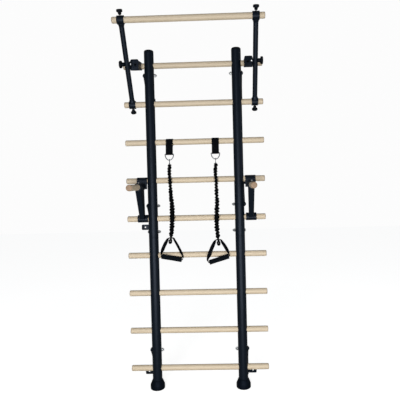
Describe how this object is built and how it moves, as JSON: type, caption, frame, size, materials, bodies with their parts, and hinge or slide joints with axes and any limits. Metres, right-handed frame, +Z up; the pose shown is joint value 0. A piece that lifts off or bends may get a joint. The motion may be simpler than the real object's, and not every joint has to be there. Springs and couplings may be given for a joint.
{
  "type": "wall_bars",
  "caption": "Wooden rungs on round black steel uprights, with a clamped pull-up frame, dip handles and hanging bands",
  "frame": {"origin": "on the wall plane, at floor level, midway between the uprights", "axes": "+X to the viewer's right, +Y into the wall, +Z up"},
  "size_m": [0.9, 0.465, 2.3695],
  "materials": {
    "powder_coated_steel": "satin bluish black powder coat",
    "zinc_plated_steel": "bright zinc plate",
    "beech": "clear matt lacquer",
    "rubber": "matt",
    "plastic": "fine moulded grain",
    "webbing": "woven",
    "foam": "ribbed foam"
  },
  "bodies": {
    "frame": {"rung_1": "beech", "rung_2": "beech", "rung_3": "beech", "rung_4": "beech", "rung_5": "beech", "rung_6": "beech", "rung_7": "beech", "rung_8": "beech", "rung_9": "beech", "upright_left_lower": "powder_coated_steel", "upright_left_upper": "powder_coated_steel", "cap_left": "plastic", "foot_left": "rubber", "joint_bolt_left": "zinc_plated_steel", "arm_left": "powder_coated_steel", "rung_bracket_left": "powder_coated_steel", "strap_left": "webbing", "wall_bracket_left_top": "powder_coated_steel", "wall_bolt_left_top": "zinc_plated_steel", "wall_bracket_left_middle": "powder_coated_steel", "wall_bolt_left_middle": "zinc_plated_steel", "wall_bracket_left_bottom": "powder_coated_steel", "wall_bolt_left_bottom": "zinc_plated_steel", "upright_right_lower": "powder_coated_steel", "upright_right_upper": "powder_coated_steel", "cap_right": "plastic", "foot_right": "rubber", "joint_bolt_right": "zinc_plated_steel", "arm_right": "powder_coated_steel", "rung_bracket_right": "powder_coated_steel", "strap_right": "webbing", "wall_bracket_right_top": "powder_coated_steel", "wall_bolt_right_top": "zinc_plated_steel", "wall_bracket_right_middle": "powder_coated_steel", "wall_bolt_right_middle": "zinc_plated_steel", "wall_bracket_right_bottom": "powder_coated_steel", "wall_bolt_right_bottom": "zinc_plated_steel", "pull_up_bar": "beech"},
    "knob_left_top": {"knob_left_top": "plastic"},
    "knob_left_bottom": {"knob_left_bottom": "plastic"},
    "knob_left_side": {"knob_left_side": "plastic"},
    "knob_right_top": {"knob_right_top": "plastic"},
    "knob_right_bottom": {"knob_right_bottom": "plastic"},
    "knob_right_side": {"knob_right_side": "plastic"},
    "dip_left": {"dip_bracket_left": "powder_coated_steel", "dip_handle_left": "beech", "dip_screw_left": "zinc_plated_steel"},
    "dip_right": {"dip_bracket_right": "powder_coated_steel", "dip_handle_right": "beech", "dip_screw_right": "zinc_plated_steel"},
    "ring_left": {"ring_left": "zinc_plated_steel"},
    "band_left": {"link_left": "zinc_plated_steel", "band_left": "webbing", "hand_strap_left": "webbing"},
    "grip_left": {"grip_left": "foam"},
    "ring_right": {"ring_right": "zinc_plated_steel"},
    "band_right": {"link_right": "zinc_plated_steel", "band_right": "webbing", "hand_strap_right": "webbing"},
    "grip_right": {"grip_right": "foam"}
  },
  "joints": [
    {"name": "knob_left_top_turn", "type": "hinge", "parent": "frame", "child": "knob_left_top", "pos_m": [-0.397, -0.334, 2.312], "axis": [0, -0.5043, 0.8635], "continuous": true},
    {"name": "knob_left_bottom_turn", "type": "hinge", "parent": "frame", "child": "knob_left_bottom", "pos_m": [-0.397, -0.07, 1.86], "axis": [0, -0.5043, 0.8635], "continuous": true},
    {"name": "knob_left_side_turn", "type": "hinge", "parent": "frame", "child": "knob_left_side", "pos_m": [-0.397, -0.20317, 2.088], "axis": [1, 0, 0], "continuous": true},
    {"name": "knob_right_top_turn", "type": "hinge", "parent": "frame", "child": "knob_right_top", "pos_m": [0.397, -0.334, 2.312], "axis": [0, -0.5043, 0.8635], "continuous": true},
    {"name": "knob_right_bottom_turn", "type": "hinge", "parent": "frame", "child": "knob_right_bottom", "pos_m": [0.397, -0.07, 1.86], "axis": [0, -0.5043, 0.8635], "continuous": true},
    {"name": "knob_right_side_turn", "type": "hinge", "parent": "frame", "child": "knob_right_side", "pos_m": [0.397, -0.20317, 2.088], "axis": [1, 0, 0], "continuous": true},
    {"name": "dip_left_lift", "type": "hinge", "parent": "frame", "child": "dip_left", "pos_m": [-0.347, -0.07, 1.364], "axis": [-1, 0, 0], "range_deg": [0, 70]},
    {"name": "dip_right_lift", "type": "hinge", "parent": "frame", "child": "dip_right", "pos_m": [0.356, -0.07, 1.364], "axis": [-1, 0, 0], "range_deg": [0, 70]},
    {"name": "ring_left_swing", "type": "hinge", "parent": "frame", "child": "ring_left", "pos_m": [-0.162, -0.106, 1.533], "axis": [-1, 0, 0], "range_deg": [0, 60]},
    {"name": "band_left_swing", "type": "hinge", "parent": "ring_left", "child": "band_left", "pos_m": [-0.162, -0.106, 1.494], "axis": [-1, 0, 0], "range_deg": [0, 60]},
    {"name": "grip_left_spin", "type": "hinge", "parent": "band_left", "child": "grip_left", "pos_m": [-0.164, -0.106, 0.8614], "axis": [0.9833, 0, -0.1822], "continuous": true},
    {"name": "ring_right_swing", "type": "hinge", "parent": "frame", "child": "ring_right", "pos_m": [0.135, -0.106, 1.533], "axis": [-1, 0, 0], "range_deg": [0, 60]},
    {"name": "band_right_swing", "type": "hinge", "parent": "ring_right", "child": "band_right", "pos_m": [0.135, -0.106, 1.494], "axis": [-1, 0, 0], "range_deg": [0, 60]},
    {"name": "grip_right_spin", "type": "hinge", "parent": "band_right", "child": "grip_right", "pos_m": [0.142, -0.106, 0.8474], "axis": [0.9588, 0, 0.284], "continuous": true}
  ]
}
